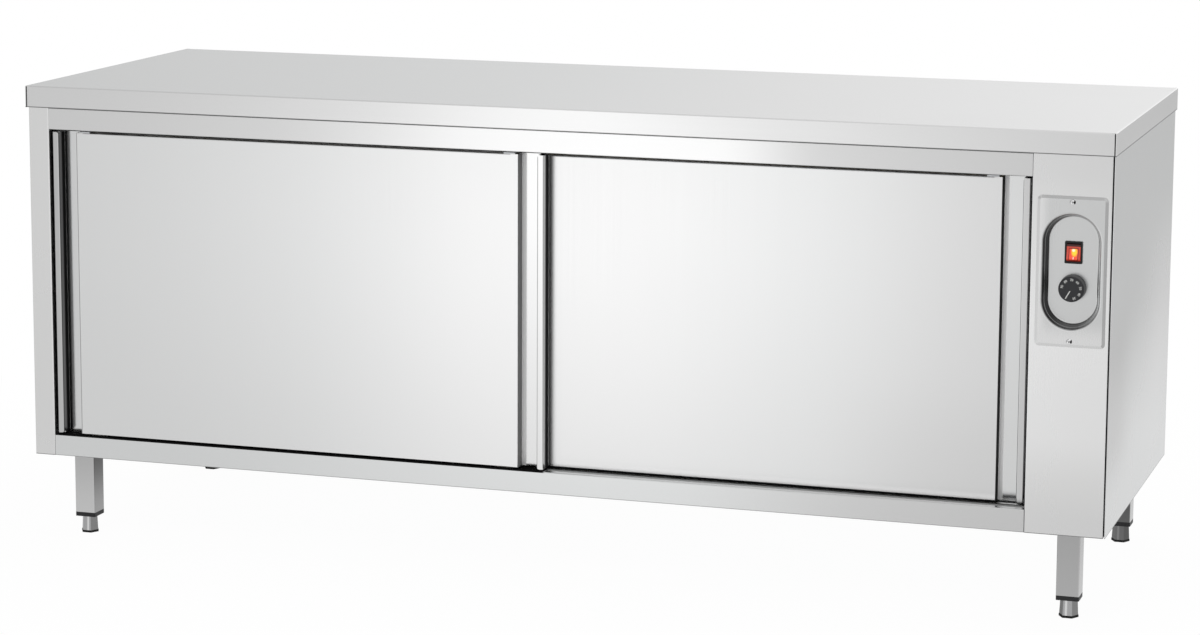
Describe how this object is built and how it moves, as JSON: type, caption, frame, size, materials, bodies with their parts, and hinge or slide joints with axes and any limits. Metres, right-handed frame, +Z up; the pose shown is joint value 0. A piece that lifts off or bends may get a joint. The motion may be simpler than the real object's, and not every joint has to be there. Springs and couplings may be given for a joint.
{
  "type": "plate warmer cabinet",
  "caption": "Long heated steel cabinet with sliding doors under a worktop, an inner shelf and a switch and thermostat panel at the right, on adjustable legs.",
  "frame": {"origin": "on the floor, under the middle of the worktop", "axes": "+X to the right of someone facing the doors, +Y to the back, +Z up"},
  "size_m": [2, 0.7, 0.85],
  "materials": {
    "worktop_steel": "satin stainless, fine grain along the length",
    "body_steel": "satin stainless",
    "door_steel": "satin stainless, soft reflections",
    "control_steel": "pressed satin stainless",
    "liner_steel": "plain stainless sheet",
    "shelf_steel": "plain stainless sheet",
    "galvanised_steel": "dull zinc-coated sheet",
    "track_steel": "zinc-plated, dull",
    "bright_steel": "bright plated",
    "foot_metal": "bright plated hexagon",
    "insulation": "mineral wool board",
    "black_rubber": "matt rubber",
    "white_nylon": "natural nylon",
    "black_plastic": "moulded, satin",
    "knob_black": "moulded, satin, light numerals",
    "rocker_red": "translucent red, lit from inside",
    "device_plastic": "plain moulding",
    "copper": "drawn copper tube",
    "motor_metal": "cast grey",
    "impeller_metal": "zinc-coated sheet",
    "heater_metal": "heat-darkened sheath",
    "cable_sheath": "sleeved leads"
  },
  "bodies": {
    "cabinet": {"worktop": "worktop_steel", "hat_sections": "galvanised_steel", "left_side_panel": "body_steel", "right_side_panel": "body_steel", "back_panel": "body_steel", "base_pan": "galvanised_steel", "top_front_rail": "body_steel", "bottom_front_rail": "body_steel", "column_front_panel": "body_steel", "chamber_liner": "liner_steel", "chamber_end_walls": "liner_steel", "chamber_floor": "liner_steel", "insulation_boards": "insulation", "shelf": "shelf_steel", "shelf_uprights": "shelf_steel", "shelf_clips": "shelf_steel", "door_tracks": "track_steel", "track_stops": "black_rubber", "control_plate": "control_steel", "plate_screws": "bright_steel", "switch_body": "black_plastic", "thermostat_body": "device_plastic", "thermostat_capillary": "copper", "fan_housing": "galvanised_steel", "fan_motor": "motor_metal", "heating_element": "heater_metal", "terminal_block": "device_plastic", "wiring_harness": "cable_sheath", "cable_gland": "black_plastic", "leg_tubes": "body_steel", "leg_bolts": "galvanised_steel", "leg_inserts": "black_plastic"},
    "left_door": {"left_door_front": "door_steel", "left_door_grips": "door_steel", "left_door_back": "door_steel", "left_door_insulation": "insulation", "left_door_hangers": "track_steel", "left_door_shoes": "white_nylon"},
    "right_door": {"right_door_front": "door_steel", "right_door_grips": "door_steel", "right_door_back": "door_steel", "right_door_insulation": "insulation", "right_door_hangers": "track_steel", "right_door_shoes": "white_nylon"},
    "left_door_roller_left": {"left_door_rollers_left": "white_nylon"},
    "left_door_roller_right": {"left_door_rollers_right": "white_nylon"},
    "right_door_roller_left": {"right_door_rollers_left": "white_nylon"},
    "right_door_roller_right": {"right_door_rollers_right": "white_nylon"},
    "rocker": {"switch_rocker": "rocker_red"},
    "knob": {"thermostat_knob": "knob_black", "thermostat_shaft": "bright_steel"},
    "impeller": {"fan_impeller": "impeller_metal"},
    "foot_front_left": {"foot_front_left": "foot_metal", "sole_front_left": "black_rubber"},
    "foot_front_right": {"foot_front_right": "foot_metal", "sole_front_right": "black_rubber"},
    "foot_back_left": {"foot_back_left": "foot_metal", "sole_back_left": "black_rubber"},
    "foot_back_right": {"foot_back_right": "foot_metal", "sole_back_right": "black_rubber"}
  },
  "joints": [
    {"name": "left_door_slide", "type": "slide", "parent": "cabinet", "child": "left_door", "axis": [1, 0, 0], "range_m": [0, 0.853]},
    {"name": "right_door_slide", "type": "slide", "parent": "cabinet", "child": "right_door", "axis": [1, 0, 0], "range_m": [-0.853, 0]},
    {"name": "left_door_roller_left_turn", "type": "hinge", "parent": "left_door", "child": "left_door_roller_left", "pos_m": [-0.8885, -0.324, 0.79105], "axis": [0, 1, 0], "continuous": true},
    {"name": "left_door_roller_right_turn", "type": "hinge", "parent": "left_door", "child": "left_door_roller_right", "pos_m": [-0.0665, -0.324, 0.79105], "axis": [0, 1, 0], "continuous": true},
    {"name": "right_door_roller_left_turn", "type": "hinge", "parent": "right_door", "child": "right_door_roller_left", "pos_m": [-0.0355, -0.293, 0.79105], "axis": [0, 1, 0], "continuous": true},
    {"name": "right_door_roller_right_turn", "type": "hinge", "parent": "right_door", "child": "right_door_roller_right", "pos_m": [0.7865, -0.293, 0.79105], "axis": [0, 1, 0], "continuous": true},
    {"name": "rocker_tip", "type": "hinge", "parent": "cabinet", "child": "rocker", "pos_m": [0.929, -0.317, 0.6425], "axis": [1, 0, 0], "range_deg": [0, 20]},
    {"name": "knob_turn", "type": "hinge", "parent": "cabinet", "child": "knob", "pos_m": [0.929, -0.3215, 0.5825], "axis": [0, 1, 0], "range_deg": [-210, 76]},
    {"name": "impeller_turn", "type": "hinge", "parent": "cabinet", "child": "impeller", "pos_m": [0.89, 0.04, 0.63], "axis": [1, 0, 0], "continuous": true},
    {"name": "foot_front_left_height", "type": "slide", "parent": "cabinet", "child": "foot_front_left", "axis": [0, 0, -1], "range_m": [0, 0.025]},
    {"name": "foot_front_right_height", "type": "slide", "parent": "cabinet", "child": "foot_front_right", "axis": [0, 0, -1], "range_m": [0, 0.025]},
    {"name": "foot_back_left_height", "type": "slide", "parent": "cabinet", "child": "foot_back_left", "axis": [0, 0, -1], "range_m": [0, 0.025]},
    {"name": "foot_back_right_height", "type": "slide", "parent": "cabinet", "child": "foot_back_right", "axis": [0, 0, -1], "range_m": [0, 0.025]}
  ],
  "couplings": [
    {"joint": "left_door_roller_left_turn", "follows": "left_door_slide", "rad_per_m": 90.909},
    {"joint": "left_door_roller_right_turn", "follows": "left_door_slide", "rad_per_m": 90.909},
    {"joint": "right_door_roller_left_turn", "follows": "right_door_slide", "rad_per_m": 90.909},
    {"joint": "right_door_roller_right_turn", "follows": "right_door_slide", "rad_per_m": 90.909}
  ]
}
